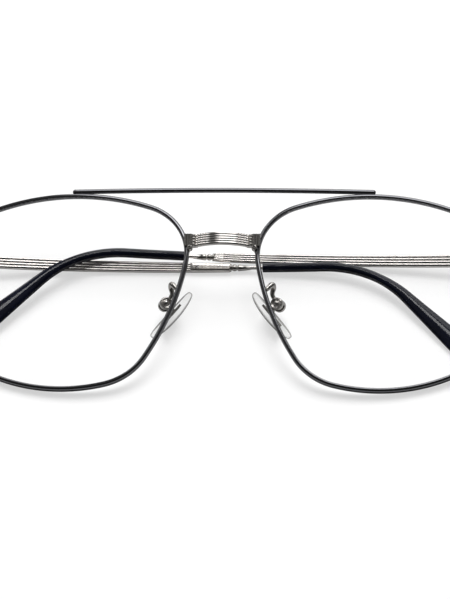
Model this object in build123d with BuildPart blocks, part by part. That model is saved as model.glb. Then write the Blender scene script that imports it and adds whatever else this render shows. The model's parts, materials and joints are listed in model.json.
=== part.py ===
from build123d import *
from math import asin, cos, degrees, radians, sin, sqrt
import os

os.makedirs("parts", exist_ok=True)

# Double bridge glasses, lying folded on a table with the lenses facing up.
# The front is modelled in its own frame: X to the right, Y up the front, Z out of the front.
# Its origin is the middle of the nose at the height of the lens centres, on the lens faces.
# At the end the whole frame is laid on its rims and its folded temples. All sizes are in millimetres.

# Lens outline, followed by the middle of the rim
lens_width = 54.75
lens_height = 45.9
nose_gap = 15.9
top_nose_corner_shares = (-0.5137, 0.3551)
top_side_corner_shares = (0.4881, 0.3137)
low_side_corner_shares = (0.4443, -0.2789)
low_nose_corner_shares = (-0.2927, -0.4357)
brow_edge_radius = 54.0
side_edge_radius = 60.0
cheek_edge_radius = 38.0
nose_edge_radius = 60.0
top_nose_corner_radius = 12.0
top_side_corner_radius = 11.0
low_side_corner_radius = 13.0
low_nose_corner_radius = 14.0

# Lens and rim sections
lens_curve_radius = 180.0
wrap_angle = 3.0
lens_thickness = 1.0
rim_width = 1.05
rim_lip = 0.45
rim_edge_round = 0.35
groove_depth = 0.35

# Rim lock beside the hinge
lock_drop = 18.55
lock_gap = 0.15
lock_block_height = 1.5
lock_block_width = 1.9
lock_block_depth = 1.7
lock_screw_diameter = 1.0
lock_head_diameter = 1.5
lock_head_height = 0.4

# Brow bar
brow_bar_end_margin = 1.725
brow_bar_diameter = 0.96
brow_bar_rise = 0.3
brow_bar_bow = 0.4
brow_bar_depth = 1.5
brow_bar_sink = 0.15

# Fluted bridge with its cast ends
bridge_drop = 11.38
bridge_crown = 0.7
bridge_strip_height = 2.6
bridge_strip_thickness = 1.0
bridge_flutes = 5
bridge_bow_radius = 11.3
bridge_end_width = 2.7
bridge_end_overlap = 0.45
bridge_end_height = 2.8
bridge_end_depth = 1.9
bridge_end_step = 0.9
bridge_end_lip = 0.15
end_plate_thickness = 0.55
end_wall_inset = 0.1
bead_diameter = 0.7
bead_count = 4
bead_step = 0.55
bead_lift = 0.03
end_rib_count = 3
end_rib_rise = 0.2
end_rib_step = 0.45
knob_diameter = 1.2
knob_length = 1.3
knob_round = 0.25
knob_step = 1.4
knob_lift = 0.15
dimple_diameter = 0.44
dimple_depth = 0.3
strut_diameter = 0.6
strut_drop = 14.45
strut_inset = 0.3

# Flutes rolled into the bridge and the temples
flute_rise = 0.14
strip_edge_rise = 0.16

# Hinge
hinge_from_rim = 5.9
hinge_drop = 13.27
hinge_set_back = 5.3
right_temple_lift = 1.784
left_temple_lift = -0.623
barrel_diameter = 1.8
barrel_clearance = 0.1
temple_barrel_height = 1.4
front_barrel_height = 1.3
barrel_end_gap = 0.05
hinge_screw_diameter = 1.1
hinge_screw_clearance = 0.03
hinge_head_diameter = 1.6
hinge_head_height = 0.45
temple_leaf_length = 4.6
temple_leaf_thickness = 0.6
leaf_neck_start = 0.3

# End piece that carries the hinge
end_piece_thickness = 1.15
end_piece_height = 3.1
end_piece_end = 1.42
end_piece_seat = 0.1
end_piece_round = 1.1

# Temple: plan bow, side bend and strip
temple_bow_depth = 5.8
temple_hinge_depth = 1.585
bow_middle_margin = 13.2
tip_bow_delay = 4.0
tip_bow_radius = 714.0
bend_radius = 26.0
bend_angle = 45.5
drop_length = 19.0
strip_start = 1.6
strip_past_middle = 1.2
strip_thickness = 1.1
strip_height_at_hinge = 2.7
strip_height_at_end = 1.75
temple_flutes = 4

# Collar and wire core
collar_length = 1.4
collar_diameter = 1.65
collar_waist = 0.22
core_diameter = 0.84
core_end_margin = 6.0

# Temple tip
bare_core_length = 7.3
tip_straight_length = 13.5
tip_height = 2.1
tip_thickness = 2.0
paddle_delay = 12.4
paddle_margin = 3.25
paddle_height = 4.7
paddle_thickness = 1.8
tip_round_length = 2.6

# Nose pad, its clasp and its arm
clasp_shift = 4.45
clasp_drop = 24.95
clasp_set_back = 4.5
pad_slope = 37.3
pad_splay = 15.0
pad_pitch = 6.0
clasp_diameter = 2.75
clasp_length = 2.6
clasp_slot = 0.9
clasp_slot_floor = 0.95
pad_screw_diameter = 0.9
pad_screw_clearance = 0.04
pad_head_diameter = 1.7
pad_head_height = 0.35
lug_clearance = 0.05
lug_neck_width = 1.0
pad_distance = 2.55
pad_slide = 0.9
pad_length = 13.6
pad_width = 5.8
pad_thickness = 1.8
pad_edge_round = 0.8
insert_length = 5.6
insert_width = 2.6
insert_thickness = 0.5
arm_diameter = 0.85
arm_bend_radius = 0.9
arm_foot_shift = 1.4
arm_foot_drop = 22.35
arm_foot_depth = 3.2
arm_loop_shift = 1.65
arm_loop_rise = 2.0
arm_loop_depth = 5.1
arm_neck_shift = 1.1
arm_neck_rise = 0.4
arm_end_seat = 0.2

# How the folded glasses lie on the table
lie_tilt = 15.25
overrun = 6.0

# Where the lofted sections stand, as shares of each length
strip_place_shares = (0, 0.25, 0.5, 0.75, 1)
core_spans = 27
tip_spans = 25

# Places that follow from the sizes
lens_centre = nose_gap / 2 + lens_width / 2
lens_side = nose_gap / 2 + lens_width
lens_top = lens_height / 2
curve_centre = (
    lens_centre - lens_curve_radius * sin(radians(wrap_angle)),
    0,
    -lens_curve_radius * cos(radians(wrap_angle)),
)
rim_back = lens_thickness + rim_lip
barrel_radius = barrel_diameter / 2
hinge_offset = barrel_radius + barrel_clearance
hinge_reach = lens_side + hinge_from_rim
strip_end = hinge_reach + strip_past_middle
tip_start = strip_end + bare_core_length
bend_start = tip_start + tip_straight_length
arc_length = bend_radius * radians(bend_angle)
temple_length = bend_start + arc_length + drop_length
temple_bow_middle = strip_end - bow_middle_margin
temple_bow_radius = temple_bow_middle**2 / (2 * (temple_bow_depth - temple_hinge_depth))
tip_bow_start = bend_start + tip_bow_delay
paddle_start = bend_start + paddle_delay
paddle_full = temple_length - paddle_margin


def corner(shares):
    """Corner of the lens outline, from its shares of the lens width and height."""
    across, up = shares
    return (lens_centre + across * lens_width, up * lens_height)


def face_depth(x, y):
    """Depth of the lens face at a place on the front, zero at the lens centre."""
    dx = x - curve_centre[0]
    return curve_centre[2] + sqrt(lens_curve_radius**2 - dx**2 - y**2)


def curved_slab(front, back):
    """Space between two spheres about the lens curve's centre, measured forward from the lens face."""
    at_centre = Location(curve_centre, (90, 0, 0))
    with BuildPart() as slab:
        with Locations(at_centre):
            Sphere(lens_curve_radius + front)
            Sphere(lens_curve_radius - back, mode=Mode.SUBTRACT)
    return slab.part


def fluted_outline(height, thickness, flutes):
    """Edges of a rolled strip's section: round flutes up both faces and rounded edges."""
    valley = thickness / 2 - flute_rise
    pitch = height / flutes
    for side in (1, -1):
        for flute in range(flutes):
            low = -height / 2 + flute * pitch
            ThreePointArc(
                (side * valley, low),
                (side * thickness / 2, low + pitch / 2),
                (side * valley, low + pitch),
            )
        edge = side * height / 2
        ThreePointArc((-valley, edge), (0, edge + side * strip_edge_rise), (valley, edge))


def plan_depth(reach):
    """Depth of the temple's middle beside the hinge axis: a long bow, closer again along the tip."""
    depth = -temple_bow_depth + (reach - temple_bow_middle) ** 2 / (2 * temple_bow_radius)
    past = max(0, reach - tip_bow_start)
    return depth + past**2 / (2 * tip_bow_radius)


def plan_slope(reach):
    """Change of the temple's depth with its reach."""
    past = max(0, reach - tip_bow_start)
    return (reach - temple_bow_middle) / temple_bow_radius + past / tip_bow_radius


def temple_plane(along):
    """Plane across the right temple at a distance along it, its X toward the lens and its Y up."""
    turned = min(max(0, along - bend_start) / bend_radius, radians(bend_angle))
    straight = max(0, along - bend_start - arc_length)
    reach = min(along, bend_start) + bend_radius * sin(turned) + straight * cos(turned)
    drop = bend_radius * (1 - cos(turned)) + straight * sin(turned)
    ahead = Vector(-cos(turned), -sin(turned), plan_slope(reach) * cos(turned)).normalized()
    toward_lens = Vector(0, 0, 1) - ahead * ahead.Z
    return Plane(origin=(-reach, -drop, plan_depth(reach)), x_dir=toward_lens, z_dir=ahead)


def tip_size(along):
    """Height and thickness of the temple tip's oval section at a distance along the temple."""
    share = min(max(0, along - paddle_start) / (paddle_full - paddle_start), 1)
    height = tip_height + (paddle_height - tip_height) * share**1.3
    thickness = tip_thickness + (paddle_thickness - tip_thickness) * share
    return height, thickness


# Middle line of the right rim, rounded at its four corners
corner_rounds = (
    (top_nose_corner_shares, top_nose_corner_radius),
    (top_side_corner_shares, top_side_corner_radius),
    (low_side_corner_shares, low_side_corner_radius),
    (low_nose_corner_shares, low_nose_corner_radius),
)
with BuildSketch() as rim_line:
    with BuildLine():
        RadiusArc(corner(top_nose_corner_shares), corner(top_side_corner_shares), brow_edge_radius)
        RadiusArc(corner(top_side_corner_shares), corner(low_side_corner_shares), side_edge_radius)
        RadiusArc(corner(low_side_corner_shares), corner(low_nose_corner_shares), cheek_edge_radius)
        RadiusArc(corner(low_nose_corner_shares), corner(top_nose_corner_shares), nose_edge_radius)
    make_face()
    for shares, radius in corner_rounds:
        fillet(rim_line.vertices().sort_by_distance(corner(shares))[0], radius)

with BuildPart() as right_lens:
    with BuildSketch(Plane.XY.offset(-overrun)):
        offset(rim_line.sketch, amount=groove_depth - rim_width / 2)
    extrude(amount=2 * overrun)
    add(curved_slab(0, lens_thickness), mode=Mode.INTERSECT)

# Right rim: the outline's band between two spheres, grooved for the lens and cut at its lock
lock_face = lens_side
lock_height = lens_top - lock_drop
lock_depth = face_depth(lock_face, lock_height) - rim_back / 2
with BuildPart() as right_rim:
    with BuildSketch(Plane.XY.offset(-overrun)):
        offset(rim_line.sketch, amount=rim_width / 2)
        offset(rim_line.sketch, amount=-rim_width / 2, mode=Mode.SUBTRACT)
    extrude(amount=2 * overrun)
    add(curved_slab(rim_lip, rim_back), mode=Mode.INTERSECT)
    around = right_rim.faces().filter_by(GeomType.SPHERE).edges()
    fillet(around, rim_edge_round)
    add(right_lens.part, mode=Mode.SUBTRACT)
    with Locations((lock_face, lock_height, lock_depth)):
        Box(lock_block_width, lock_gap, 2 * rim_back, mode=Mode.SUBTRACT)

# Rim lock: two blocks on the rim's outer side, drawn together by a screw
lock_axis = lock_face + rim_width / 2 + lock_block_width / 2
with BuildPart() as right_lock_blocks:
    for side in (1, -1):
        step = side * (lock_gap + lock_block_height) / 2
        with Locations((lock_axis - rim_width / 4, lock_height + step, lock_depth)):
            Box(lock_block_width + rim_width / 2, lock_block_height, lock_block_depth)
    add(right_rim.part, mode=Mode.SUBTRACT)
    with Locations(Location((lock_axis, lock_height, lock_depth), (90, 0, 0))):
        Cylinder(lock_screw_diameter / 2, 2 * overrun, mode=Mode.SUBTRACT)

lock_low = lock_height - lock_gap / 2 - lock_block_height
lock_plane = Plane(origin=(lock_axis, lock_low, lock_depth), x_dir=(1, 0, 0), z_dir=(0, -1, 0))
with BuildPart() as right_lock_screw:
    with BuildSketch(lock_plane):
        Circle(lock_head_diameter / 2)
    extrude(amount=lock_head_height)
    with BuildSketch(lock_plane):
        Circle(lock_screw_diameter / 2)
    extrude(amount=-(2 * lock_block_height + lock_gap))

# Brow bar: a round wire laid on both rims, slightly raised and bowed forward in the middle
bar_half = lens_centre - brow_bar_end_margin
rim_top = rim_line.sketch.bounding_box().max.Y + rim_width / 2
bar_end_height = rim_top + brow_bar_diameter / 2 - brow_bar_sink
bar_start = (-bar_half, bar_end_height, -brow_bar_depth)
bar_middle = (0, bar_end_height + brow_bar_rise, brow_bar_bow - brow_bar_depth)
bar_stop = (bar_half, bar_end_height, -brow_bar_depth)
with BuildPart() as brow_bar:
    with BuildLine() as bar_path:
        ThreePointArc(bar_start, bar_middle, bar_stop)
    with BuildSketch(Plane(origin=bar_path.line @ 0, z_dir=bar_path.line % 0)):
        Circle(brow_bar_diameter / 2)
    sweep()
    add(right_rim.part, mode=Mode.SUBTRACT)
    add(mirror(right_rim.part, about=Plane.YZ, mode=Mode.PRIVATE), mode=Mode.SUBTRACT)

# Bridge: a fluted strip bowed forward over the nose
bridge_height = lens_top - bridge_drop
end_outer = nose_gap / 2 + bridge_end_overlap
half_span = end_outer - bridge_end_width
half_turn = asin(half_span / bridge_bow_radius)
bow_centre = bridge_crown - bridge_bow_radius
bow_axis = Axis((0, bridge_height, bow_centre), (0, 1, 0))
strip_stop = bow_centre + bridge_bow_radius * cos(half_turn)
strip_start_plane = Plane(
    origin=(-half_span, bridge_height, strip_stop),
    x_dir=(-sin(half_turn), 0, cos(half_turn)),
    z_dir=(-cos(half_turn), 0, -sin(half_turn)),
)
with BuildPart() as bridge:
    with BuildSketch(strip_start_plane):
        with BuildLine():
            fluted_outline(bridge_strip_height, bridge_strip_thickness, bridge_flutes)
        make_face()
    revolve(axis=bow_axis, revolution_arc=2 * degrees(half_turn))

# Cast end of the bridge, against the strip's end: a ribbed block that laps the rim, a column of beads,
# a knob and a strut down to the rim
end_front = bridge_crown - bridge_end_step
end_top = bridge_height + bridge_end_height / 2
end_wall = nose_gap / 2 - end_wall_inset
bead_reach = half_span + bead_step
rib_start = bead_reach + end_rib_step
rib_pitch = (end_outer - rib_start) / end_rib_count
end_face = Vector(sin(half_turn), cos(half_turn)) * (bridge_strip_thickness / 2 + bridge_end_lip)
strip_middle = Vector(half_span, strip_stop)
with BuildPart() as knob:
    Cylinder(knob_diameter / 2, knob_length)
    knob_edge = knob.edges().group_by(Axis.Z)[-1]
    fillet(knob_edge, knob_round)
    with Locations((0, 0, knob_length / 2)):
        Cylinder(dimple_diameter / 2, 2 * dimple_depth, mode=Mode.SUBTRACT)

knob_place = Location(
    (
        half_span + knob_step,
        end_top - bridge_end_height - knob_diameter / 4,
        end_front + knob_lift - knob_length / 2,
    )
)
strut_reach = nose_gap / 2 - strut_inset
strut_height = lens_top - strut_drop
strut_end = Vector(strut_reach, strut_height, face_depth(strut_reach, strut_height) - rim_back / 2)
strut = strut_end - knob_place.position
with BuildPart() as right_bridge_end:
    with BuildSketch(Plane.XZ.offset(-end_top)):
        with BuildLine():
            Polyline(
                (rib_start, end_front),
                strip_middle + end_face,
                strip_middle - end_face,
                (end_wall, end_front - bridge_end_depth),
                (end_wall, end_front - end_plate_thickness),
                (end_outer, end_front - end_plate_thickness),
                (end_outer, end_front),
            )
            for rib in range(end_rib_count):
                left = rib_start + rib * rib_pitch
                ThreePointArc(
                    (left, end_front),
                    (left + rib_pitch / 2, end_front + end_rib_rise),
                    (left + rib_pitch, end_front),
                )
        make_face()
    extrude(amount=bridge_end_height)
    bead_pitch = bridge_strip_height / bead_count
    with Locations((bead_reach, bridge_height, end_front + bead_lift)):
        with GridLocations(bead_pitch, bead_pitch, 1, bead_count):
            Sphere(bead_diameter / 2)
    add(knob_place * knob.part)
    with BuildSketch(Plane(origin=knob_place.position, z_dir=strut)):
        Circle(strut_diameter / 2)
    extrude(amount=strut.length)
    add(right_rim.part, mode=Mode.SUBTRACT)

# Hinge and temple: modelled for the right side, folded, with the hinge axis on Y through the origin
wall_outer = hinge_offset + end_piece_thickness
end_piece_inner_reach = hinge_from_rim + end_piece_seat
with BuildPart() as end_piece:
    with BuildSketch(Plane.XZ.offset(-end_piece_height / 2)):
        with BuildLine():
            Polyline(
                (-end_piece_inner_reach, hinge_offset),
                (hinge_offset, hinge_offset),
                (hinge_offset, -end_piece_end),
                (wall_outer, -end_piece_end),
                (wall_outer, wall_outer),
                (-end_piece_inner_reach, wall_outer),
                close=True,
            )
        make_face()
    extrude(amount=end_piece_height)
    outer_corner = end_piece.edges().filter_by(Axis.Y).sort_by(Axis((0, 0, 0), (1, 0, 1)))[-1]
    fillet(outer_corner, end_piece_round)

# Front half of the hinge: two barrels whose feet fill the end piece's inner corner
barrel_pitch = (temple_barrel_height + front_barrel_height) / 2 + barrel_end_gap
hinge_bore_radius = hinge_screw_diameter / 2 + hinge_screw_clearance
with BuildPart() as front_barrels:
    for side in (1, -1):
        with Locations((0, side * barrel_pitch, 0)):
            Cylinder(barrel_radius, front_barrel_height, rotation=(90, 0, 0))
        with Locations((0, side * barrel_pitch, 0)):
            Box(
                hinge_offset,
                front_barrel_height,
                hinge_offset,
                align=(Align.MIN, Align.CENTER, Align.MIN),
            )
    Cylinder(hinge_bore_radius, 2 * overrun, rotation=(90, 0, 0), mode=Mode.SUBTRACT)

# Temple strip: a fluted bar, lower toward its end, bowed in plan
strip_length = strip_end - strip_start
strip_places = [strip_start + strip_length * share for share in strip_place_shares]
with BuildPart() as temple_strip:
    for along in strip_places:
        share = (along - strip_start) / strip_length
        height = strip_height_at_hinge + (strip_height_at_end - strip_height_at_hinge) * share**2
        with BuildSketch(temple_plane(along)):
            with BuildLine():
                fluted_outline(height, strip_thickness, temple_flutes)
            make_face()
    loft()

# Temple half of the hinge: one barrel between the front's two, on a leaf soldered to the strip
leaf_end = strip_start + temple_leaf_length
strip_face_start = plan_depth(strip_start) + strip_thickness / 2
strip_face_end = plan_depth(leaf_end) + strip_thickness / 2
with BuildPart() as temple_barrel:
    Cylinder(barrel_radius, temple_barrel_height, rotation=(90, 0, 0))
    with BuildSketch(Plane.XZ.offset(-temple_barrel_height / 2)):
        with BuildLine():
            Polyline(
                (0, -leaf_neck_start),
                (-strip_start, -leaf_neck_start - temple_leaf_thickness / 2),
                (-leaf_end, strip_face_end + temple_leaf_thickness),
                (-leaf_end, strip_face_end - strip_thickness / 2),
                (-strip_start, strip_face_start - strip_thickness / 2),
                (-strip_start, -barrel_radius),
                (0, -barrel_radius),
                close=True,
            )
        make_face()
    extrude(amount=temple_barrel_height)
    Cylinder(hinge_bore_radius, 2 * overrun, rotation=(90, 0, 0), mode=Mode.SUBTRACT)
    add(temple_strip.part, mode=Mode.SUBTRACT)

# Hinge screw, head up
barrel_top = barrel_pitch + front_barrel_height / 2
with BuildPart() as hinge_screw:
    with BuildSketch(Plane.XZ.offset(-barrel_top)):
        Circle(hinge_screw_diameter / 2)
    extrude(amount=2 * barrel_top)
    with BuildSketch(Plane.XZ.offset(-barrel_top)):
        Circle(hinge_head_diameter / 2)
    extrude(amount=-hinge_head_height)

# Wire core from the end of the strip to near the end of the tip
core_end = temple_length - core_end_margin
core_places = [strip_end + (core_end - strip_end) * span / core_spans for span in range(core_spans + 1)]
with BuildPart() as temple_core:
    for along in core_places:
        with BuildSketch(temple_plane(along)):
            Circle(core_diameter / 2)
    loft()

# Collar: a waisted bead on the core against the strip's end
with BuildPart() as temple_collar:
    with BuildSketch(temple_plane(strip_end)):
        Circle(collar_diameter / 2)
    extrude(amount=collar_length)
    rims_of_collar = temple_collar.edges().filter_by(GeomType.CIRCLE)
    fillet(rims_of_collar, collar_waist)
    add(temple_core.part, mode=Mode.SUBTRACT)

# Temple tip: an oval sleeve over the core that widens to a paddle, with half an egg as its end
tip_full = temple_length - tip_round_length
tip_places = [tip_start + (tip_full - tip_start) * span / tip_spans for span in range(tip_spans + 1)]
full_height, full_thickness = tip_size(tip_full)
with BuildPart() as tip_end:
    Sphere(tip_round_length, arc_size1=0, align=(Align.CENTER, Align.CENTER, Align.MIN))
    scale(by=(full_thickness / 2 / tip_round_length, full_height / 2 / tip_round_length, 1))
with BuildPart() as temple_tip:
    for along in tip_places:
        height, thickness = tip_size(along)
        with BuildSketch(temple_plane(along)):
            Ellipse(thickness / 2, height / 2)
    loft()
    add(temple_plane(tip_full).location * tip_end.part)
    add(temple_core.part, mode=Mode.SUBTRACT)

# Nose pad, modelled on its clasp: X toward the pad, Y down along it, Z along the clasp's screw
toward_nose = Vector(-cos(radians(pad_slope)), -sin(radians(pad_slope)), 0)
down_pad = Vector(sin(radians(pad_slope)), -cos(radians(pad_slope)), 0)
forward = Vector(0, 0, 1)
clasp_down = down_pad * cos(radians(pad_pitch)) + forward * sin(radians(pad_pitch))
pad_forward = forward * cos(radians(pad_pitch)) - down_pad * sin(radians(pad_pitch))
clasp_z = pad_forward * cos(radians(pad_splay)) + toward_nose * sin(radians(pad_splay))
clasp_plane = Plane(
    origin=(nose_gap / 2 + clasp_shift, lens_top - clasp_drop, -clasp_set_back),
    x_dir=clasp_down.cross(clasp_z),
    z_dir=clasp_z,
)
with BuildPart() as pad_clasp:
    Cylinder(clasp_diameter / 2, clasp_length)
    with Locations((-clasp_slot_floor, 0, 0)):
        Box(
            clasp_diameter,
            2 * clasp_diameter,
            clasp_slot,
            align=(Align.MIN, Align.CENTER, Align.CENTER),
            mode=Mode.SUBTRACT,
        )
    Cylinder(pad_screw_diameter / 2, 2 * clasp_length, mode=Mode.SUBTRACT)

with BuildPart() as pad_screw:
    Cylinder(pad_screw_diameter / 2, clasp_length)
    with Locations((0, 0, clasp_length / 2)):
        Cylinder(pad_head_diameter / 2, pad_head_height, align=(Align.CENTER, Align.CENTER, Align.MIN))

lug_thickness = clasp_slot - 2 * lug_clearance
lug_radius = clasp_slot_floor - lug_clearance
pad_middle = (pad_distance, pad_slide, 0)
with BuildPart() as pad_insert:
    Cylinder(lug_radius, lug_thickness)
    Box(
        pad_distance,
        lug_neck_width,
        lug_thickness,
        align=(Align.MIN, Align.CENTER, Align.CENTER),
    )
    with Locations(pad_middle):
        Box(insert_thickness, insert_length, insert_width)
    Cylinder(pad_screw_diameter / 2 + pad_screw_clearance, clasp_length, mode=Mode.SUBTRACT)

with BuildPart() as nose_pad:
    with BuildSketch(Plane.YZ.offset(pad_distance - pad_thickness / 2)):
        with Locations((pad_slide, 0)):
            Ellipse(pad_length / 2, pad_width / 2)
    extrude(amount=pad_thickness)
    fillet(nose_pad.edges(), pad_edge_round)
    add(pad_insert.part, mode=Mode.SUBTRACT)

# Pad arm: a wire from the back of the rim that turns back on itself and ends on the clasp's rear cheek
foot_reach = nose_gap / 2 + arm_foot_shift
foot_height = lens_top - arm_foot_drop
foot_start = face_depth(foot_reach, foot_height) - rim_back + rim_lip / 2
cheek_middle = (clasp_length + clasp_slot) / 4
arm_end = clasp_plane.from_local_coords((0, arm_end_seat - clasp_diameter / 2, -cheek_middle))
with BuildPart() as right_pad_arm:
    with BuildLine() as arm_path:
        FilletPolyline(
            (foot_reach, foot_height, foot_start),
            (foot_reach, foot_height, -arm_foot_depth),
            (foot_reach + arm_loop_shift, foot_height + arm_loop_rise, -arm_foot_depth),
            (foot_reach + arm_loop_shift, foot_height + arm_loop_rise, -arm_loop_depth),
            (foot_reach + arm_neck_shift, foot_height + arm_neck_rise, -arm_loop_depth),
            arm_end,
            radius=arm_bend_radius,
        )
    with BuildSketch(Plane(origin=arm_path.line @ 0, z_dir=arm_path.line % 0)):
        Circle(arm_diameter / 2)
    sweep()
    add(right_rim.part, mode=Mode.SUBTRACT)
    add(clasp_plane.location * pad_clasp.part, mode=Mode.SUBTRACT)

# The frame lies on its rims and folded temples
hinge_height = lens_top - hinge_drop
right_rise = degrees(asin(right_temple_lift / hinge_reach))
left_rise = degrees(asin(left_temple_lift / hinge_reach))
right_hinge = Location((hinge_reach, hinge_height, -hinge_set_back), (0, 0, -right_rise))
left_hinge = Location((-hinge_reach, hinge_height, -hinge_set_back), (0, 0, left_rise))


def both_sides(piece):
    """The piece and its mirror image across the middle of the nose."""
    return piece, mirror(piece, about=Plane.YZ)


def at_both_hinges(piece):
    """The piece at the right hinge and its mirror image at the left one."""
    return right_hinge * piece, left_hinge * mirror(piece, about=Plane.YZ)


def at_both_clasps(piece):
    """The piece at the right nose pad's clasp and its mirror image at the left one."""
    placed = clasp_plane.location * piece
    return placed, mirror(placed, about=Plane.YZ)


pairs = {
    "rim": both_sides(right_rim.part),
    "lens": both_sides(right_lens.part),
    "lock_blocks": both_sides(right_lock_blocks.part),
    "lock_screw": both_sides(right_lock_screw.part),
    "bridge_end": both_sides(right_bridge_end.part),
    "pad_arm": both_sides(right_pad_arm.part),
    "pad_clasp": at_both_clasps(pad_clasp.part),
    "pad_screw": at_both_clasps(pad_screw.part),
    "pad_insert": at_both_clasps(pad_insert.part),
    "nose_pad": at_both_clasps(nose_pad.part),
    "end_piece": at_both_hinges(end_piece.part),
    "front_barrels": at_both_hinges(front_barrels.part),
    "hinge_screw": at_both_hinges(hinge_screw.part),
    "temple_barrel": at_both_hinges(temple_barrel.part),
    "temple_strip": at_both_hinges(temple_strip.part),
    "temple_collar": at_both_hinges(temple_collar.part),
    "temple_core": at_both_hinges(temple_core.part),
    "temple_tip": at_both_hinges(temple_tip.part),
}
right_rim_part, left_rim_part = pairs["rim"]
pairs["end_piece"] = (pairs["end_piece"][0] - right_rim_part, pairs["end_piece"][1] - left_rim_part)

pieces = {"brow_bar": brow_bar.part, "bridge": bridge.part}
for name, (right_piece, left_piece) in pairs.items():
    pieces["right_" + name] = right_piece
    pieces["left_" + name] = left_piece

# Laid down: tilted, then moved so that the lowest point is on the table and the middle over the origin
tilted = {name: Location((0, 0, 0), (lie_tilt, 0, 0)) * piece for name, piece in pieces.items()}
whole = Compound(list(tilted.values())).bounding_box()
to_table = Location((-whole.center().X, -whole.center().Y, -whole.min.Z))
for name, piece in tilted.items():
    laid = to_table * piece
    laid.label = name
    export_step(laid, "parts/" + name + ".step")

print("overall size", whole.size)
print("moved to the table by", to_table.position)
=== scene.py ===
# %% [markdown]
# Double bridge glasses on a white table.
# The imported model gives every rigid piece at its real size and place.
# This script gives those pieces their finishes, adds the fine pieces that only matter to the eye,
# and sets a small white studio around them.

# %% Load the frame
import json
from math import degrees, radians

import bpy
import numpy as np
from mathutils import Matrix, Vector


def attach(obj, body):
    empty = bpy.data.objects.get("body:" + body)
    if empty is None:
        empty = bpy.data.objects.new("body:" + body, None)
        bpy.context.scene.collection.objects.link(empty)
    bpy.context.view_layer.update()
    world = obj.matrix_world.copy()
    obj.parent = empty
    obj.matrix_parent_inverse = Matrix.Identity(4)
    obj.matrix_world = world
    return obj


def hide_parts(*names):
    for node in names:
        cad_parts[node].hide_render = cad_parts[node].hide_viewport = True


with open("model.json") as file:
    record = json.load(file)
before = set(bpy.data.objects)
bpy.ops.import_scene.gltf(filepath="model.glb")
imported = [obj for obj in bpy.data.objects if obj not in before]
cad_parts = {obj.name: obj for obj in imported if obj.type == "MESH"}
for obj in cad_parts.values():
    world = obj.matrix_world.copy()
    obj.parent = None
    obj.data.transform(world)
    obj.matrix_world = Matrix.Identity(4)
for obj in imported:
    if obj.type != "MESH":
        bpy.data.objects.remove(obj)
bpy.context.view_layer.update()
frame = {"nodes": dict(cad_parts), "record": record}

MM = 0.001

# %% [markdown]
# The front of the glasses has its own upright frame: X to the right, Y up, Z out of the lenses.
# It lies tilted on its lower rims and on the folded temples.
# Each new piece could be drawn where it lies, but upright its formula is much shorter.
# So everything is worked out in the front's frame, in millimetres, and one matrix lays it down.

# %% The front's own frame, laid on the table
LIE_TILT = radians(15.25)
FRONT_ORIGIN = Vector((-0.0128, -0.8402, 9.0511))
TO_TABLE = Matrix.Translation(FRONT_ORIGIN * MM) @ Matrix.Rotation(LIE_TILT, 4, "X")
LAY_DOWN = TO_TABLE @ Matrix.Scale(MM, 4)


def laid(points):
    """Front's frame in millimetres to the model's frame in metres, for an array (..., 3)."""
    return points @ np.array(LAY_DOWN.to_3x3()).T + np.array(LAY_DOWN.translation)


print("front: laid down at", round(degrees(LIE_TILT), 2), "degrees")

# %% [markdown]
# The camera was found by fitting the front's outline to the photograph.
# It stands 600 mm away, a little to the right and 20 degrees below the front's own axis.
# It is given by those angles and not by a position, because each angle was fitted on its own.

# %% Camera
IMAGE_HEIGHT_PX = 599
FOCAL_PX = 2760.0
SENSOR_MM = 36.0
CLIP_START = 0.01
CAMERA_SIDE, CAMERA_DROP, CAMERA_ROLL = radians(4.06), radians(20.0), radians(0.22)
CAMERA_DISTANCE = 600.0
CAMERA_TARGET = Vector((1.03, -2.42, 0))


def camera_matrix():
    """Camera axes from two viewing angles and the roll, in the front's frame, then laid down."""
    back = Vector((
        np.sin(CAMERA_SIDE) * np.cos(CAMERA_DROP),
        -np.sin(CAMERA_DROP),
        np.cos(CAMERA_SIDE) * np.cos(CAMERA_DROP),
    ))
    level = Vector((1, 0, 0))
    level = (level - back * level.dot(back)).normalized()
    upright = back.cross(level)
    right = level * np.cos(CAMERA_ROLL) + upright * np.sin(CAMERA_ROLL)
    up = back.cross(right)
    turn = Matrix.Rotation(LIE_TILT, 3, "X")
    axes = Matrix((turn @ right, turn @ up, turn @ back)).transposed()
    place = LAY_DOWN @ (CAMERA_TARGET + back * CAMERA_DISTANCE)
    return Matrix.Translation(place) @ axes.to_4x4()


camera_data = bpy.data.cameras.new("camera")
camera_data.sensor_width = SENSOR_MM
camera_data.lens = FOCAL_PX * SENSOR_MM / IMAGE_HEIGHT_PX
camera_data.clip_start = CLIP_START
camera = bpy.data.objects.new("camera", camera_data)
camera.matrix_world = camera_matrix()
bpy.context.scene.collection.objects.link(camera)
bpy.context.scene.camera = camera
print("camera:", round(camera_data.lens, 1), "mm lens at", [round(c, 3) for c in camera.location])

# %% [markdown]
# Colours are written as the hex values that a screen shows, because those can be compared
# with a picture. Shaders work with linear light, so one function turns the one into the other.
# A second function adds a node with its settings, values and links in one call.

# %% Colour and node helpers


def linear(hex_colour):
    """Linear RGBA of an sRGB hex colour: c / 12.92 if small, else ((c + 0.055) / 1.055) ** 2.4."""
    channels = np.array([int(hex_colour[i:i + 2], 16) for i in (1, 3, 5)]) / 255
    low = channels / 12.92
    high = ((channels + 0.055) / 1.055) ** 2.4
    return (*np.where(channels <= 0.04045, low, high), 1.0)


def add_node(tree, kind, settings=None, values=None, links=None):
    """Adds a shader node, sets its properties and sockets, and links its inputs to outputs."""
    node = tree.nodes.new(kind)
    for name, value in (settings or {}).items():
        setattr(node, name, value)
    for name, value in (values or {}).items():
        node.inputs[name].default_value = value
    for name, source in (links or {}).items():
        tree.links.new(source, node.inputs[name])
    return node


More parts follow.
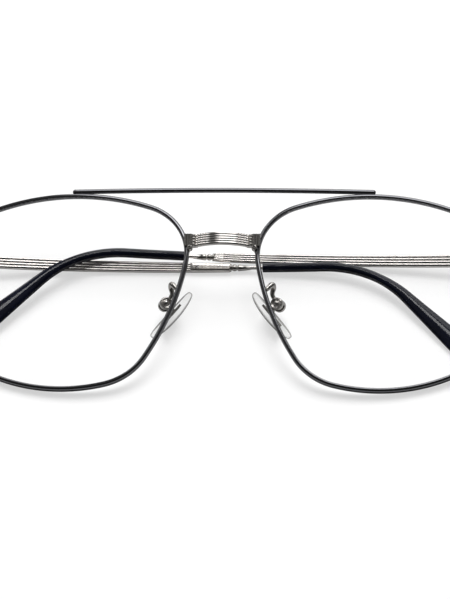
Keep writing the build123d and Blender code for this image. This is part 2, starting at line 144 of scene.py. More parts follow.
def new_material(name):
    """An empty node material, its tree and its output node."""
    material = bpy.data.materials.new(name)
    material.use_nodes = True
    tree = material.node_tree
    tree.nodes.clear()
    output = add_node(tree, "ShaderNodeOutputMaterial")
    return material, tree, output


WHITE, BLACK = linear("#ffffff"), linear("#000000")
print("linear value of half grey:", round(linear("#808080")[0], 3))

# %% [markdown]
# Metal of glasses is drawn, rolled or cast, polished on cloth wheels and plated.
# Polishing leaves hair-fine scratches. Drawn one by one they would be too fine to show,
# so the roughness wanders over a third of a millimetre instead, coarser than on the real metal,
# and a very low bump breaks up the reflections. The colour is the plating's own.

# %% Plated metals
METRE_IN_MM = 1000.0
POLISH_MM = 0.35
POLISH_DETAIL, POLISH_FINENESS = 3.0, 0.6
NOISE_LOW, NOISE_HIGH = 0.3, 0.7
SCRATCH_STRENGTH, SCRATCH_DEPTH = 0.03, 0.00001


def polished_plating(name, hex_colour, smooth, rough):
    """Metal of one plating's colour, with a roughness that wanders between two values."""
    material, tree, output = new_material(name)
    place = add_node(tree, "ShaderNodeTexCoord")
    noise = add_node(
        tree, "ShaderNodeTexNoise",
        values={"Scale": METRE_IN_MM / POLISH_MM, "Detail": POLISH_DETAIL,
                "Roughness": POLISH_FINENESS},
        links={"Vector": place.outputs["Object"]},
    )
    spread = add_node(
        tree, "ShaderNodeMapRange",
        values={"From Min": NOISE_LOW, "From Max": NOISE_HIGH, "To Min": smooth, "To Max": rough},
        links={"Value": noise.outputs["Fac"]},
    )
    bump = add_node(
        tree, "ShaderNodeBump",
        values={"Strength": SCRATCH_STRENGTH, "Distance": SCRATCH_DEPTH},
        links={"Height": noise.outputs["Fac"]},
    )
    metal = add_node(
        tree, "ShaderNodeBsdfPrincipled",
        values={"Base Color": linear(hex_colour), "Metallic": 1.0},
        links={"Roughness": spread.outputs["Result"], "Normal": bump.outputs["Normal"]},
    )
    tree.links.new(metal.outputs["BSDF"], output.inputs["Surface"])
    return material


# Gunmetal plating, polished last: dark sides and one sharp light line along each wire.
gunmetal = polished_plating("polished_gunmetal_plating", "#808083", smooth=0.05, rough=0.09)
# Silver plating on rolled strip, with the rolls' fine lines left in it: soft bands of light.
silver = polished_plating("polished_silver_plating", "#f0ece8", smooth=0.14, rough=0.24)
# Antique silver on cast and turned pieces, darkened and rubbed: small, contrasty glints.
antique = polished_plating("antique_silver_castings", "#c8c5c1", smooth=0.07, rough=0.13)
# Silver polished to a mirror on the bridge and the pad screws: clear dark and bright bands.
bright = polished_plating("bright_polished_silver", "#e8e4e0", smooth=0.05, rough=0.10)
print("plated metals:", [metal.name for metal in (gunmetal, silver, antique, bright)])

# %% [markdown]
# Temple tips are cellulose acetate, cut from sheet and tumbled until glossy.
# The blue is so deep that only its highlights show what it is. A single colour would look
# printed, so a cloud of two blues a few millimetres wide lies in it, as pigment does in the sheet.

# %% Navy acetate
CLOUD_MM, CLOUD_DETAIL = 6.0, 2.0
TUMBLED_ROUGHNESS, ACETATE_IOR = 0.10, 1.47


def tumbled_acetate():
    """Deep blue plastic with a faint darker cloud in it and a clear gloss."""
    material, tree, output = new_material("tumbled_navy_acetate")
    place = add_node(tree, "ShaderNodeTexCoord")
    cloud = add_node(
        tree, "ShaderNodeTexNoise",
        values={"Scale": METRE_IN_MM / CLOUD_MM, "Detail": CLOUD_DETAIL},
        links={"Vector": place.outputs["Object"]},
    )
    shade = add_node(
        tree, "ShaderNodeMix", settings={"data_type": "RGBA"},
        values={"A": linear("#04060e"), "B": linear("#0a0e20")},
        links={"Factor": cloud.outputs["Fac"]},
    )
    plastic = add_node(
        tree, "ShaderNodeBsdfPrincipled",
        values={"Roughness": TUMBLED_ROUGHNESS, "IOR": ACETATE_IOR},
        links={"Base Color": shade.outputs["Result"]},
    )
    tree.links.new(plastic.outputs["BSDF"], output.inputs["Surface"])
    return material


# Tumbling gives a close, even gloss: thin white highlights on a nearly black tip.
acetate = tumbled_acetate()
print("plastic:", acetate.name)

# %% [markdown]
# The lenses are clear polycarbonate show lenses, and the pads are clear moulded silicone.
# Real refraction would be slow and noisy through such thin pieces, and would leave dark shadows.
# So both are gloss over nothing: the table shows through, light passes them,
# and only the outline, where one looks along the surface, turns solid.

# %% Clear lens and clear silicone
OUTLINE_BLEND, OUTLINE_FROM, OUTLINE_TO = 0.5, 0.35, 0.95


def see_through(name, hex_colour, middle, outline, roughness, ior):
    """Gloss over nothing: the share of solid body grows from the middle toward the outline."""
    material, tree, output = new_material(name)
    ray = add_node(tree, "ShaderNodeLightPath")
    nothing = add_node(tree, "ShaderNodeBsdfTransparent")
    body = add_node(
        tree, "ShaderNodeBsdfPrincipled",
        values={"Base Color": linear(hex_colour), "Roughness": roughness, "IOR": ior},
    )
    facing = add_node(tree, "ShaderNodeLayerWeight", values={"Blend": OUTLINE_BLEND})
    solid = add_node(
        tree, "ShaderNodeMapRange", settings={"interpolation_type": "SMOOTHSTEP"},
        values={"From Min": OUTLINE_FROM, "From Max": OUTLINE_TO,
                "To Min": middle, "To Max": outline},
        links={"Value": facing.outputs["Facing"]},
    )
    unshadowed = add_node(
        tree, "ShaderNodeMath", settings={"operation": "SUBTRACT"},
        values={0: 1.0}, links={1: ray.outputs["Is Shadow Ray"]},
    )
    share = add_node(
        tree, "ShaderNodeMath", settings={"operation": "MULTIPLY", "use_clamp": True},
        links={0: solid.outputs["Result"], 1: unshadowed.outputs["Value"]},
    )
    mixed = add_node(
        tree, "ShaderNodeMixShader",
        links={0: share.outputs["Value"], 1: nothing.outputs["BSDF"], 2: body.outputs["BSDF"]},
    )
    tree.links.new(mixed.outputs["Shader"], output.inputs["Surface"])
    return material


# Cast polycarbonate is nearly invisible: a faint gloss and a darker edge.
lens_clear = see_through(
    "clear_polycarbonate_lens", "#1c1e20", middle=0.015, outline=0.30, roughness=0.03, ior=1.5,
)
# Silicone from a satin mould is softer: a milky grey outline around a clear middle.
silicone = see_through(
    "clear_moulded_silicone", "#6a6a66", middle=0.07, outline=0.90, roughness=0.12, ior=1.41,
)
print("clear materials:", lens_clear.name, silicone.name)

# %% [markdown]
# The model's own pieces are already the right shape, so they only need a finish.
# Each takes it from its slot in the record, but the small castings of the silver slot are darker,
# because antique plating stays in their hollows.

# %% Finish the frame's own pieces
FINISHES = {
    "gunmetal": gunmetal,
    "silver_steel": silver,
    "clear_lens": lens_clear,
    "clear_silicone": silicone,
    "navy_acetate": acetate,
}
CASTINGS = ("bridge_end", "pad_arm", "pad_clasp", "pad_insert")
for part in frame["record"]["subparts"]:
    mesh = frame["nodes"][part["node"]].data
    mesh.materials.clear()
    cast = part["node"].endswith(CASTINGS)
    mesh.materials.append(antique if cast else FINISHES[part["material_slot"]])

# %% [markdown]
# Every new surface is a grid of points: rows along the piece, columns around its section.
# A bevelled curve or a stack of modifiers could give some of them, but a grid gives them all,
# and each point is known. One function closes a grid around, caps its two ends, gives it its
# finish and ties it to its body. A second one makes the right piece and its mirror image.

# %% From a grid of points to a piece


def grid_piece(name, points, finish, body, stands_for=(), mirrored=False):
    """Mesh of a grid in the front's frame: quads between neighbours and a cap on each end."""
    rows, columns = points.shape[:2]
    here = np.arange(rows * columns).reshape(rows, columns)
    beside = np.roll(here, -1, axis=1)
    quads = np.stack([here[:-1], beside[:-1], beside[1:], here[1:]], axis=-1).reshape(-1, 4)
    caps = [here[0][::-1].tolist(), here[-1].tolist()]
    faces = quads.tolist() + caps
    if mirrored:
        faces = [face[::-1] for face in faces]
    mesh = bpy.data.meshes.new(name)
    mesh.from_pydata(laid(points).reshape(-1, 3).tolist(), [], faces)
    mesh.polygons.foreach_set("use_smooth", [True] * len(quads) + [False] * len(caps))
    mesh.materials.append(finish)
    mesh.validate()
    piece = bpy.data.objects.new(name, mesh)
    bpy.context.scene.collection.objects.link(piece)
    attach(piece, body)
    if stands_for:
        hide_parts(*stands_for)
    print(name + ":", len(mesh.polygons), "faces")


def both_sides(name, points, finish, bodies, node):
    """The right piece as its grid says, and the left one with X and the faces turned round."""
    for side, sign, body in zip(("right", "left"), (1, -1), bodies):
        grid_piece(
            f"{side}_{name}", points * (sign, 1, 1), finish, body, [f"{side}_{node}"],
            mirrored=sign < 0,
        )


# %% [markdown]
# The outline of the lens is four wide arcs joined by four tight ones, so that it turns smoothly.
# A free curve through points off the photograph would wobble, while arcs stay fair.
# A tight arc that touches two wide arcs from inside has its centre where two circles cross:
# each is as large as its wide arc less the tight radius. Of the two crossings the one nearer
# to the corner is right. The first and last arc leave the gap of the rim lock.

# %% The lens outline
LENS_WIDTH, LENS_HEIGHT, NOSE_GAP = 54.75, 45.9, 15.9
LENS_CENTRE = (NOSE_GAP + LENS_WIDTH) / 2
# Clockwise from the upper inner corner, as shares of the lens's width and height.
CORNER_SHARES = np.array([
    (-0.5137, 0.3551), (0.4881, 0.3137), (0.4443, -0.2789), (-0.2927, -0.4357),
])
EDGE_RADII = np.array([54.0, 60.0, 38.0, 60.0])
CORNER_RADII = np.array([12.0, 11.0, 13.0, 14.0])
LOCK_DROP, LOCK_GAP = 18.55, 0.15
OUTER_EDGE = 1


def outline_arcs():
    """Centre, radius, first and last angle of the eight arcs, clockwise from the rim lock."""
    corners = CORNER_SHARES * (LENS_WIDTH, LENS_HEIGHT) + (LENS_CENTRE, 0)
    chord = np.roll(corners, -1, axis=0) - corners
    inward = np.stack([chord[:, 1], -chord[:, 0]], axis=1)
    inward /= np.linalg.norm(chord, axis=1)[:, None]
    rise = np.sqrt(EDGE_RADII**2 - (chord**2).sum(axis=1) / 4)
    wide = corners + chord / 2 + inward * rise[:, None]
    # Where the two smaller circles cross: along the line between their centres, then aside.
    before, reach_before = np.roll(wide, 1, axis=0), np.roll(EDGE_RADII, 1) - CORNER_RADII
    apart = wide - before
    gap = np.linalg.norm(apart, axis=1)
    along = (reach_before**2 - (EDGE_RADII - CORNER_RADII)**2 + gap**2) / (2 * gap)
    aside = np.sqrt(reach_before**2 - along**2)
    unit = apart / gap[:, None]
    square = np.stack([-unit[:, 1], unit[:, 0]], axis=1)
    both = [before + unit * along[:, None] + square * (sign * aside)[:, None] for sign in (1, -1)]
    far = [np.linalg.norm(tight - corners, axis=1) for tight in both]
    tight = np.where((far[0] < far[1])[:, None], both[0], both[1])
    # Each tight arc starts and stops on the line from its centre to a wide arc's centre.
    start = np.arctan2(*(tight - before).T[::-1])
    stop = np.arctan2(*(tight - wide).T[::-1])
    outer, outer_radius = wide[OUTER_EDGE], EDGE_RADII[OUTER_EDGE]
    lock = LENS_HEIGHT / 2 - LOCK_DROP + np.array([-1, 1]) * LOCK_GAP / 2
    below, above = np.arcsin((lock - outer[1]) / outer_radius)
    arcs = [(outer, outer_radius, below, start[2])]
    for corner in (2, 3, 0, 1):
        arcs.append((tight[corner], CORNER_RADII[corner], start[corner], stop[corner]))
        if corner != OUTER_EDGE:
            following = start[(corner + 1) % len(corners)]
            arcs.append((wide[corner], EDGE_RADII[corner], stop[corner], following))
    arcs.append((outer, outer_radius, stop[OUTER_EDGE], above))
    return [
        (centre, radius, first, first - (first - last) % (2 * np.pi))
        for centre, radius, first, last in arcs
    ]


OUTLINE = outline_arcs()
print("outline:", len(OUTLINE), "arcs, radii", [float(arc[1]) for arc in OUTLINE])

# %% [markdown]
# A rim of this kind is wire with a groove for the lens, bent around it and closed by a lock.
# The model has that groove but flat sides. The photograph shows a rounded wire with one
# light line, so a superellipse, rounder than a box and flatter than an ellipse, is carried
# along the outline. It follows the lens face, which is part of a large sphere.

# %% Rims
LENS_CURVE, WRAP = 180.0, radians(3.0)
CURVE_X = LENS_CENTRE - LENS_CURVE * np.sin(WRAP)
CURVE_Z = -LENS_CURVE * np.cos(WRAP)
RIM_WIDTH, RIM_FRONT, RIM_BACK = 1.08, 0.28, 1.45
RIM_SQUARENESS, RIM_SQUEEZE = 2.6, 0.982
OUTLINE_STEP, FEWEST_STEPS = 0.45, 3
SECTION_POINTS = 32


def face_depth(x, y):
    """Depth of the lens face: the sphere about the lens curve's centre, zero at the lens centre."""
    return CURVE_Z + np.sqrt(LENS_CURVE**2 - (x - CURVE_X) ** 2 - y**2)


def superellipse(count, squareness):
    """Closed unit section: cosine and sine of an even turn, each to 2 over the squareness."""
    turn = np.linspace(0, 2 * np.pi, count, endpoint=False)
    wave = np.stack([np.cos(turn), np.sin(turn)])
    return np.sign(wave) * np.abs(wave) ** (2 / squareness)


def rim_grid():
    """Section along the eight arcs: outward by its width, forward by depth from the lens face."""
    turns = [
        np.linspace(
            first, last, max(FEWEST_STEPS, int(abs(last - first) * radius / OUTLINE_STEP)),
            endpoint=False,
        )
        for _, radius, first, last in OUTLINE
    ]
    turns[-1] = np.append(turns[-1], OUTLINE[-1][3])
    rays = [np.stack([np.cos(turn), np.sin(turn)], axis=1) for turn in turns]
    middle = np.concatenate([arc[0] + arc[1] * ray for arc, ray in zip(OUTLINE, rays)])
    outward = np.concatenate(rays)
    across, forward = superellipse(SECTION_POINTS, RIM_SQUARENESS)
    across = across * RIM_WIDTH / 2
    forward = forward * (RIM_FRONT + RIM_BACK) / 2
    flat = (middle[:, None] + outward[:, None] * across[None, :, None]) * (1, RIM_SQUEEZE)
    depth = face_depth(flat[..., 0], flat[..., 1]) + (RIM_FRONT - RIM_BACK) / 2 + forward
    return np.concatenate([flat, depth[..., None]], axis=-1)


both_sides("rim_wire", rim_grid(), gunmetal, ("front", "front"), "rim")

# %% [markdown]
# The upper bridge is a plain round bar that lies on both rims and bows a little, up and forward.
# A bevelled curve would end flat. Here circles are set along a parabola,
# and their radius falls at both ends as the height of a half ball does.

# %% Brow bar
# Radius at which a closed end stops, so that its cap still has an area.
CAP_CENTRE = 0.02
BAR_HALF, BAR_DIAMETER, BAR_STEPS = 33.6, 1.12, 120
BAR_HEIGHT, BAR_RISE = 23.36, 0.3
BAR_DEPTH, BAR_BOW = 1.5, 0.4


def bar_grid():
    """Circles along a parabola in height and depth, with radius (1 - (1 - left)^2)^(1/2)."""
    along = BAR_HALF * np.sin(np.linspace(-np.pi / 2, np.pi / 2, BAR_STEPS))
    left = np.clip((BAR_HALF - np.abs(along)) / (BAR_DIAMETER / 2), 0, 1)
    radius = np.maximum(BAR_DIAMETER / 2 * np.sqrt(1 - (1 - left) ** 2), CAP_CENTRE)
    share = 1 - (along / BAR_HALF) ** 2
    turn = np.linspace(0, 2 * np.pi, SECTION_POINTS, endpoint=False)
    up = BAR_HEIGHT + BAR_RISE * share[:, None] + radius[:, None] * np.sin(turn)
    forward = BAR_BOW * share[:, None] - BAR_DEPTH + radius[:, None] * np.cos(turn)
    return np.stack([np.repeat(along[:, None], SECTION_POINTS, axis=1), up, forward], axis=-1)


# The rows run backward here and on the pads and the bridge, so that the faces point outward.
grid_piece("brow_bar_round", bar_grid()[::-1], gunmetal, "front", ["brow_bar"])

# %% [markdown]
# Screw heads and beads are turned on a lathe: a profile of radius and height around an axis.
# A Screw modifier could do that, but these axes lean in two directions, and a formula with
# three vectors leans with them. The pad screw has a raised rim, a hollow ring and a domed
# middle, as the button in the photograph has.

# %% Pad screws
PAD_SLOPE, PAD_PITCH, PAD_SPLAY = radians(37.3), radians(6.0), radians(15.0)
CLASP_SIDE, CLASP_DROP, CLASP_DEPTH = 12.4, 24.95, -4.5
TURN_POINTS = 48
SCREW_PROFILE = np.array([
    (CAP_CENTRE, -1.3), (0.45, -1.3), (0.45, 1.3), (1.24, 1.3), (1.3, 1.36), (1.3, 1.5),
    (1.24, 1.58), (1.12, 1.62), (1.0, 1.58), (0.92, 1.46), (0.84, 1.38), (0.68, 1.38),
    (0.58, 1.46), (0.52, 1.62), (0.42, 1.72), (0.26, 1.78), (0.1, 1.8), (CAP_CENTRE, 1.8),
])


def clasp_axes():
    """Place of the right clasp, and its side, across and screw axes from the pad's three angles."""
    down = np.array([np.sin(PAD_SLOPE), -np.cos(PAD_SLOPE), 0])
    nose = np.array([-np.cos(PAD_SLOPE), -np.sin(PAD_SLOPE), 0])
    out = np.array([0, 0, 1])
    along = down * np.cos(PAD_PITCH) + out * np.sin(PAD_PITCH)
    forward = out * np.cos(PAD_PITCH) - down * np.sin(PAD_PITCH)
    axis = forward * np.cos(PAD_SPLAY) + nose * np.sin(PAD_SPLAY)
    side = np.cross(along, axis)
    place = np.array([CLASP_SIDE, LENS_HEIGHT / 2 - CLASP_DROP, CLASP_DEPTH])
    return place, side, np.cross(axis, side), axis


def turned(profile, place, side, across, axis):
    """Grid of a turned piece: place + radius (cosine side + sine across) + height axis."""
    turn = np.linspace(0, 2 * np.pi, TURN_POINTS, endpoint=False)[None, :, None]
    radius, height = profile[:, 0, None, None], profile[:, 1, None, None]
    return place + radius * (np.cos(turn) * side + np.sin(turn) * across) + height * axis


screw = turned(SCREW_PROFILE, *clasp_axes())
both_sides("pad_screw_button", screw, bright, ("front", "front"), "pad_screw")

# %% [markdown]
# The pad arm is thick soft wire. It leaves the back of the rim, turns over and comes down
# to the clasp. The model's arm has an even thickness, while the photograph shows it thickest
# where it turns over. So place and radius together run smoothly through six given rows.

# %% Pad arms
ARM_ROWS = np.array([
    (9.35, 0.60, -1.55, 0.42), (9.75, 1.10, -3.20, 0.50), (10.95, 2.35, -3.75, 0.66),
    (11.25, 2.05, -4.90, 0.62), (11.05, 0.60, -5.25, 0.48), (11.93, -1.00, -5.46, 0.44),
])
ARM_STEPS = 16
# A direction that the arm never takes, from which each circle starts.
ARM_ASIDE = (0.83, -0.55, 0.1)


def smooth_path(points, steps):
    """Cubics through points: the slope at each is half the chord between its neighbours."""
    ends = 2 * points[:1] - points[1:2], 2 * points[-1:] - points[-2:-1]
    padded = np.concatenate([ends[0], points, ends[1]])
    t = np.linspace(0, 1, steps, endpoint=False)[None, :, None]
    a, b, c, d = (padded[i:len(points) - 1 + i, None] for i in range(4))
    square = a - 2.5 * b + 2 * c - d / 2
    cube = 1.5 * (b - c) + (d - a) / 2
    curve = b + (c - a) / 2 * t + square * t**2 + cube * t**3
    return np.concatenate([curve.reshape(-1, points.shape[1]), points[-1:]])


def tube_grid(path, radii):
    """Circles square to a path, all turned the same way: each starts from one side direction."""
    tangent = np.gradient(path, axis=0)
    tangent /= np.linalg.norm(tangent, axis=1)[:, None]
    side = np.cross(tangent, ARM_ASIDE)
    side /= np.linalg.norm(side, axis=1)[:, None]
    across = np.cross(tangent, side)
    turn = np.linspace(0, 2 * np.pi, SECTION_POINTS, endpoint=False)[None, :, None]
    circle = np.cos(turn) * side[:, None] + np.sin(turn) * across[:, None]
    return path[:, None] + radii[:, None, None] * circle


arm_path = smooth_path(ARM_ROWS, ARM_STEPS)
arm = tube_grid(arm_path[:, :3], arm_path[:, 3])
both_sides("pad_arm_wire", arm, antique, ("front", "front"), "pad_arm")

# %% [markdown]
# Each temple strip ends in a collar with a bead and a taper down to the wire.
# On the real frame they are one turned piece, slipped on before the wire is soldered in,
# so one profile makes them here too. The bead is half a circle of radius against height.
# Place and axis differ a little on the two sides, because the temples cross as they lie.

# %% Collars with their beads
BEAD_RADIUS, BEAD_HEIGHT, TAPER_END = 0.74, 1.02, 4.6
BEAD_TURN = np.linspace(radians(40), radians(145), 14)
COLLAR_PROFILE = np.concatenate([
    [(CAP_CENTRE, 0.0), (0.80, 0.0), (0.87, 0.06), (0.87, 0.26)],
    [(0.80, 0.33), (0.56, 0.36), (0.50, 0.42)],
    np.stack([
        BEAD_RADIUS * np.sin(BEAD_TURN), BEAD_HEIGHT - BEAD_RADIUS * np.cos(BEAD_TURN),
    ], axis=1),
    [(0.52, 1.70), (0.68, 1.84), (0.72, 2.0), (0.44, TAPER_END), (CAP_CENTRE, TAPER_END)],
])
STRIP_ENDS = {
    "right_temple": ((-2.45, 11.53, -10.85), (-1.0, 0.026, 0.0)),
    "left_temple": ((1.18, 9.04, -10.85), (1.0, -0.009, 0.0)),
}


def strip_axes(temple):
    """Place of a temple's collar, and its side, across and long axes, each of length one."""
    place, axis = (np.array(row) for row in STRIP_ENDS[temple])
    axis = axis / np.linalg.norm(axis)
    side = np.array([0.0, 0.0, 1.0])
    return place, side, np.cross(axis, side), axis


print("collars: profile of", len(COLLAR_PROFILE), "rows")

# %% [markdown]
# A cuff closes the strip's rolled end before the collar. A box with a bevel would have
# edges too straight for rolled metal, so it is a row of superellipses that ease down to the
# collar. The strip's flutes run on over the right cuff, and the left one is plain.
# Each temple gets its collar and its cuff together, because both ride on it.

# %% Cuffs, with the collars
# Length of each cuff, and depth of its flutes as a share of its thickness.
CUFFS = {"right_temple": (2.3, 0.16), "left_temple": (8.8, 0.0)}
CUFF_TALL, CUFF_LOW, CUFF_THICK, CUFF_SQUARENESS = 0.98, 0.84, 0.63, 4.0
CUFF_SHARES = np.array([0.0, 0.02, 0.05, 0.3, 0.6, 0.8, 0.95, 0.98, 1.0])[:, None]
CUFF_EDGE, CUFF_DRAW = 0.05, 0.1
CUFF_FLUTES, CUFF_POINTS = 4, 160


def cuff_grid(temple):
    """Superellipses along the strip's end: the height eases down by share^2 to the collar.

    Both ends are drawn in a little, by a square root. The thickness loses a share where the
    sine across the face comes near nothing, which leaves round flutes.
    """
    place, side, across, axis = strip_axes(temple)
    length, groove = CUFFS[temple]
    near_edge = np.clip(np.minimum(CUFF_SHARES, 1 - CUFF_SHARES) / CUFF_EDGE, 0, 1)
    drawn_in = 1 - CUFF_DRAW * (1 - np.sqrt(near_edge))
    tall = (CUFF_TALL + (CUFF_LOW - CUFF_TALL) * CUFF_SHARES**2) * drawn_in
    up, forward = superellipse(CUFF_POINTS, CUFF_SQUARENESS)
    fluted = 1 - groove * (1 - np.abs(np.sin(np.pi * CUFF_FLUTES * (up + 1) / 2)))
    thick = (CUFF_THICK * drawn_in * forward * fluted)[..., None] * side
    back = ((1 - CUFF_SHARES) * length)[..., None] * axis
    return place - back + thick + (tall * up)[..., None] * across


for temple in STRIP_ENDS:
    collar = turned(COLLAR_PROFILE, *strip_axes(temple))
    grid_piece(
        temple + "_beaded_collar", collar, antique, temple, [temple + "_collar"],
    )
    cuff = cuff_grid(temple)
    grid_piece(temple + "_cuff", cuff, silver, temple, mirrored=True)

# %% [markdown]
# The left cuff carries a small engraved cross, dark where plating has stayed in it.
# It could be a bump in the cuff's material, but two thin spindles of dark metal,
# half sunk into the face, keep their glint from every side.

# %% The small cross
MARK_TURNS = (radians(50), radians(130))
MARK_LENGTH, MARK_WIDTH, MARK_FROM_EDGE = 0.75, 0.12, 1.45
MARK_STEPS, MARK_LAST = 12, 0.999


def mark_grid(turn):
    """A spindle along a line turned across the cuff's face: circles of radius (1 - s^2)^(1/2)."""
    place, side, across, axis = strip_axes("left_temple")
    length, _ = CUFFS["left_temple"]
    centre = place - axis * (length - MARK_FROM_EDGE) + side * CUFF_THICK
    along = axis * np.cos(turn) + across * np.sin(turn)
    aside = np.cross(along, side)
    share = np.linspace(-1, 1, MARK_STEPS)[:, None, None]
    around = np.linspace(0, 2 * np.pi, MARK_STEPS, endpoint=False)[None, :, None]
    width = MARK_WIDTH * np.sqrt(1 - (MARK_LAST * share) ** 2)
    ring = np.cos(around) * side + np.sin(around) * aside
    return centre + share * MARK_LENGTH * along + width * ring


for number, turn in enumerate(MARK_TURNS, start=1):
    name = f"left_temple_cross_bar_{number}"
    grid_piece(name, mark_grid(turn), gunmetal, "left_temple")

# %% [markdown]
# Nose pads are moulded around a metal insert: nearly flat behind, crowned toward the nose,
# round at the edge. A scaled sphere would be too thin at its rim and too fat in its middle.
# So every section across the pad is a superellipse, and its width and thickness fall to
# nothing at both ends by powers of their own.

# %% Nose pads
PAD_HALF_LENGTH, PAD_HALF_WIDTH, PAD_BACK, PAD_CROWN = 6.8, 2.9, 0.85, 0.75
PAD_REACH, PAD_SLIDE = 2.55, 0.9
PAD_ROWS, PAD_SQUARENESS, PAD_LAST = 60, 2.5, 0.9995


def pad_grid():
    """Sections along the pad: width (1 - s^2)^(1/2), thickness (1 - s^4)^(1/4), crown 1 - s^2."""
    share = PAD_LAST * np.sin(np.linspace(-np.pi / 2, np.pi / 2, PAD_ROWS))[:, None]
    toward, aside = superellipse(SECTION_POINTS, PAD_SQUARENESS)
    crown = np.where(toward > 0, PAD_CROWN * (1 - share**2), 0)
    thick = (PAD_BACK + crown) * (1 - share**4) ** 0.25
    wide = PAD_HALF_WIDTH * np.sqrt(1 - share**2)
    place, side, across, axis = clasp_axes()
    out = (PAD_REACH + thick * toward)[..., None] * side
    down = (PAD_SLIDE + PAD_HALF_LENGTH * share)[..., None] * across
    return place + out + down + (wide * aside)[..., None] * axis


pad_bodies = ("right_pad", "left_pad")
both_sides("pad_moulding", pad_grid()[::-1], silicone, pad_bodies, "nose_pad")

# %% [markdown]
# The lower bridge is a rolled strip, bowed forward over the nose and leaning toward the brow.
# Five round flutes run along its face, and fine cuts cross them near both ends.
# A bump could draw both, but they catch the light boxes at an edge, so they are real shape:
# a fluted section carried around the bow, cut down where a wave along the bow has its crests.

# %% Bridge strip
BRIDGE_RADIUS, BRIDGE_CENTRE, BRIDGE_TURN = 11.3, -10.6, 0.528
BRIDGE_DROP, BRIDGE_LEAN = 11.38, radians(2.5)
BRIDGE_HEIGHT, BRIDGE_THICKNESS, EDGE_BULGE = 2.7, 0.9, 0.25
FLUTES, FLUTE_RISE, FLUTE_POINTS = 5, 0.09, 12
CUT_FROM, CUT_TO, CUT_PITCH, CUT_DEPTH, CUT_SHARPNESS = 3.3, 5.7, 0.62, 0.16, 3
BRIDGE_STEPS, EDGE_POINTS = 400, 10


def bridge_grid():
    """Section (flutes 1 - u^2 in front, flat behind) around the bow, with cuts by arc length."""
    up = np.linspace(-1, 1, FLUTES * FLUTE_POINTS + 1)
    flute = 1 - (2 * ((up + 1) / 2 * FLUTES % 1) - 1) ** 2
    edge = np.linspace(0, np.pi, EDGE_POINTS + 2)[1:-1]
    tall, thick = BRIDGE_HEIGHT / 2, BRIDGE_THICKNESS / 2
    bulge = EDGE_BULGE * thick * np.sin(edge)
    height = np.concatenate([up * tall, tall + bulge, up[::-1] * tall, -tall - bulge])
    front = np.concatenate([
        thick + FLUTE_RISE * flute, thick * np.cos(edge),
        np.full_like(up, -thick), -thick * np.cos(edge),
    ])
    face = np.concatenate([np.ones_like(up), np.zeros(2 * EDGE_POINTS + len(up))])
    turn = np.linspace(-BRIDGE_TURN, BRIDGE_TURN, BRIDGE_STEPS)[:, None]
    arc = np.abs(turn) * BRIDGE_RADIUS
    wave = (1 + np.cos(2 * np.pi * (arc - CUT_FROM) / CUT_PITCH - np.pi)) / 2
    cut = CUT_DEPTH * wave**CUT_SHARPNESS * ((arc > CUT_FROM) & (arc < CUT_TO))
    radius = BRIDGE_RADIUS + front - cut * face - height * np.tan(BRIDGE_LEAN)
    middle = LENS_HEIGHT / 2 - BRIDGE_DROP
    return np.stack([
        radius * np.sin(turn), np.broadcast_to(middle + height, radius.shape),
        BRIDGE_CENTRE + radius * np.cos(turn),
    ], axis=-1)


grid_piece("bridge_strip", bridge_grid()[::-1], bright, "front", ["bridge"])

# %% [markdown]
# The table is a wide sheet of matt white paint that takes the glasses' soft shadows.
# To look white it could be lit harder, but that would burn out the metal. So for the camera,
# and through the lenses, it is mixed with plain white light, and keeps part of the shadows.
# Polished metal sees it dimmer, as in the photograph, where the sides of the rims stay dark.

# %% White table
TABLE_SIZE = 3.0
TABLE_LIFT = 0.60
TABLE_DIM = 0.60


def white_table():
    """White paint, mixed with white light for the camera and glass and with black for gloss."""
    material, tree, output = new_material("white_table")
    ray = add_node(tree, "ShaderNodeLightPath")
    seen = add_node(
        tree, "ShaderNodeMath", settings={"operation": "MAXIMUM"},
        links={0: ray.outputs["Is Camera Ray"], 1: ray.outputs["Is Transmission Ray"]},
    )
    lift = add_node(
        tree, "ShaderNodeMath", settings={"operation": "MULTIPLY"},
        values={1: TABLE_LIFT}, links={0: seen.outputs["Value"]},
    )
    paint = add_node(tree, "ShaderNodeBsdfDiffuse", values={"Color": linear("#f8f8f8")})
    white = add_node(tree, "ShaderNodeEmission", values={"Strength": 1.0})
    lifted = add_node(
        tree, "ShaderNodeMixShader",
        links={0: lift.outputs["Value"], 1: paint.outputs["BSDF"], 2: white.outputs["Emission"]},
    )
    dim = add_node(
        tree, "ShaderNodeMath", settings={"operation": "MULTIPLY"},
        values={1: TABLE_DIM}, links={0: ray.outputs["Is Glossy Ray"]},
    )
    dark = add_node(tree, "ShaderNodeBsdfDiffuse", values={"Color": BLACK})
    dimmed = add_node(
        tree, "ShaderNodeMixShader",
        links={0: dim.outputs["Value"], 1: lifted.outputs["Shader"], 2: dark.outputs["BSDF"]},
    )
    tree.links.new(dimmed.outputs["Shader"], output.inputs["Surface"])
    return material


table_corners = np.array([(-1, -1, 0), (1, -1, 0), (1, 1, 0), (-1, 1, 0)]) * TABLE_SIZE / 2
table_mesh = bpy.data.meshes.new("table")
table_mesh.from_pydata(table_corners.tolist(), [], [(0, 1, 2, 3)])
table_mesh.materials.append(white_table())
table = bpy.data.objects.new("table", table_mesh)
bpy.context.scene.collection.objects.link(table)
print("table:", TABLE_SIZE, "m wide")

# %% [markdown]
# Polished metal shows what stands around it, so the studio is dark but for soft boxes high
# above the table, a little toward the back. Each is a bright line along every rounded piece.
# Area lamps could stand there, but boxes painted on the sky are seen alike by all pieces.
# A box is the product of four eased edges, two sideways and two from front to back.

# %% Soft boxes
DARK = 0.03
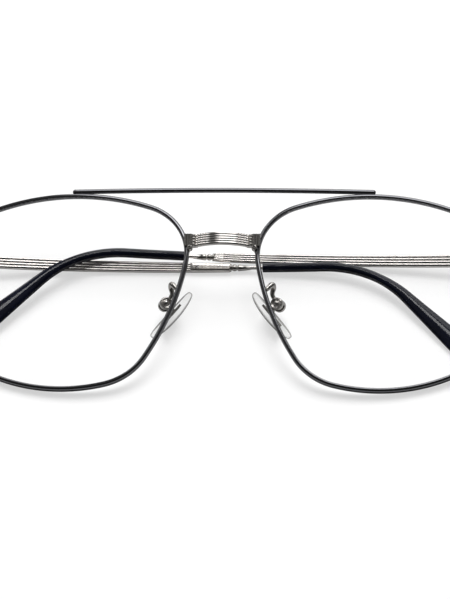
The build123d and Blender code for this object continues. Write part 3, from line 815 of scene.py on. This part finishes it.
# Strength, then from dark to full at the left, right, front and back edge, as parts of a
# direction of length one.
SOFT_BOXES = (
    (4.40, (-0.20, -0.12), (0.42, 0.36), (0.19, 0.25), (0.46, 0.40)),
    (1.80, (-0.66, -0.60), (-0.42, -0.48), (0.22, 0.28), (1.3, 1.2)),
    (1.50, (-0.24, -0.18), (0.80, 0.60), (0.46, 0.58), (1.3, 1.2)),
    (0.10, (-1.3, -1.2), (1.3, 1.2), (-0.35, -0.10), (1.3, 1.2)),
)
EDGE_AXES = "XXYY"


def studio_world():
    """Sky of soft boxes: dark, plus each box's strength times its four edges. White if seen."""
    world = bpy.data.worlds.new("studio")
    world.use_nodes = True
    bpy.context.scene.world = world
    tree = world.node_tree
    tree.nodes.clear()
    place = add_node(tree, "ShaderNodeTexCoord")
    part = add_node(
        tree, "ShaderNodeSeparateXYZ", links={"Vector": place.outputs["Generated"]},
    )
    total = add_node(tree, "ShaderNodeValue")
    total.outputs["Value"].default_value = DARK
    for strength, *edges in SOFT_BOXES:
        box = add_node(tree, "ShaderNodeValue")
        box.outputs["Value"].default_value = strength
        for axis, (start, stop) in zip(EDGE_AXES, edges):
            edge = add_node(
                tree, "ShaderNodeMapRange", settings={"interpolation_type": "SMOOTHSTEP"},
                values={"From Min": min(start, stop), "From Max": max(start, stop),
                        "To Min": float(start > stop), "To Max": float(start < stop)},
                links={"Value": part.outputs[axis]},
            )
            box = add_node(
                tree, "ShaderNodeMath", settings={"operation": "MULTIPLY"},
                links={0: box.outputs["Value"], 1: edge.outputs["Result"]},
            )
        total = add_node(
            tree, "ShaderNodeMath", settings={"operation": "ADD"},
            links={0: total.outputs["Value"], 1: box.outputs["Value"]},
        )
    ray = add_node(tree, "ShaderNodeLightPath")
    sky = add_node(
        tree, "ShaderNodeBackground",
        values={"Color": WHITE}, links={"Strength": total.outputs["Value"]},
    )
    white = add_node(tree, "ShaderNodeBackground", values={"Color": WHITE, "Strength": 1.0})
    mixed = add_node(
        tree, "ShaderNodeMixShader",
        links={0: ray.outputs["Is Camera Ray"], 1: sky.outputs["Background"],
               2: white.outputs["Background"]},
    )
    add_node(tree, "ShaderNodeOutputWorld", links={"Surface": mixed.outputs["Shader"]})


studio_world()
print("sky:", len(SOFT_BOXES), "soft boxes")

# %% [markdown]
# The even light on the table, and the soft shadows on it, come from one wide lamp.
# Metal would show it as one more square, so it is hidden from glossy rays.
# The view transform is the plain one, at which a colour renders about as it is written.

# %% Lamp
LAMP_PLACE, LAMP_SIZE, LAMP_POWER = Vector((0.03, 0.60, 0.72)), 0.5, 9.6
lamp_data = bpy.data.lights.new("overhead", "AREA")
lamp_data.size = LAMP_SIZE
lamp_data.energy = LAMP_POWER
lamp = bpy.data.objects.new("overhead", lamp_data)
lamp.location = LAMP_PLACE
lamp.rotation_euler = (-LAMP_PLACE).to_track_quat("-Z", "Y").to_euler()
lamp.visible_glossy = False
bpy.context.scene.collection.objects.link(lamp)
bpy.context.scene.view_settings.view_transform = "Standard"
print("lamp:", LAMP_POWER, "W at", [round(c, 2) for c in LAMP_PLACE])
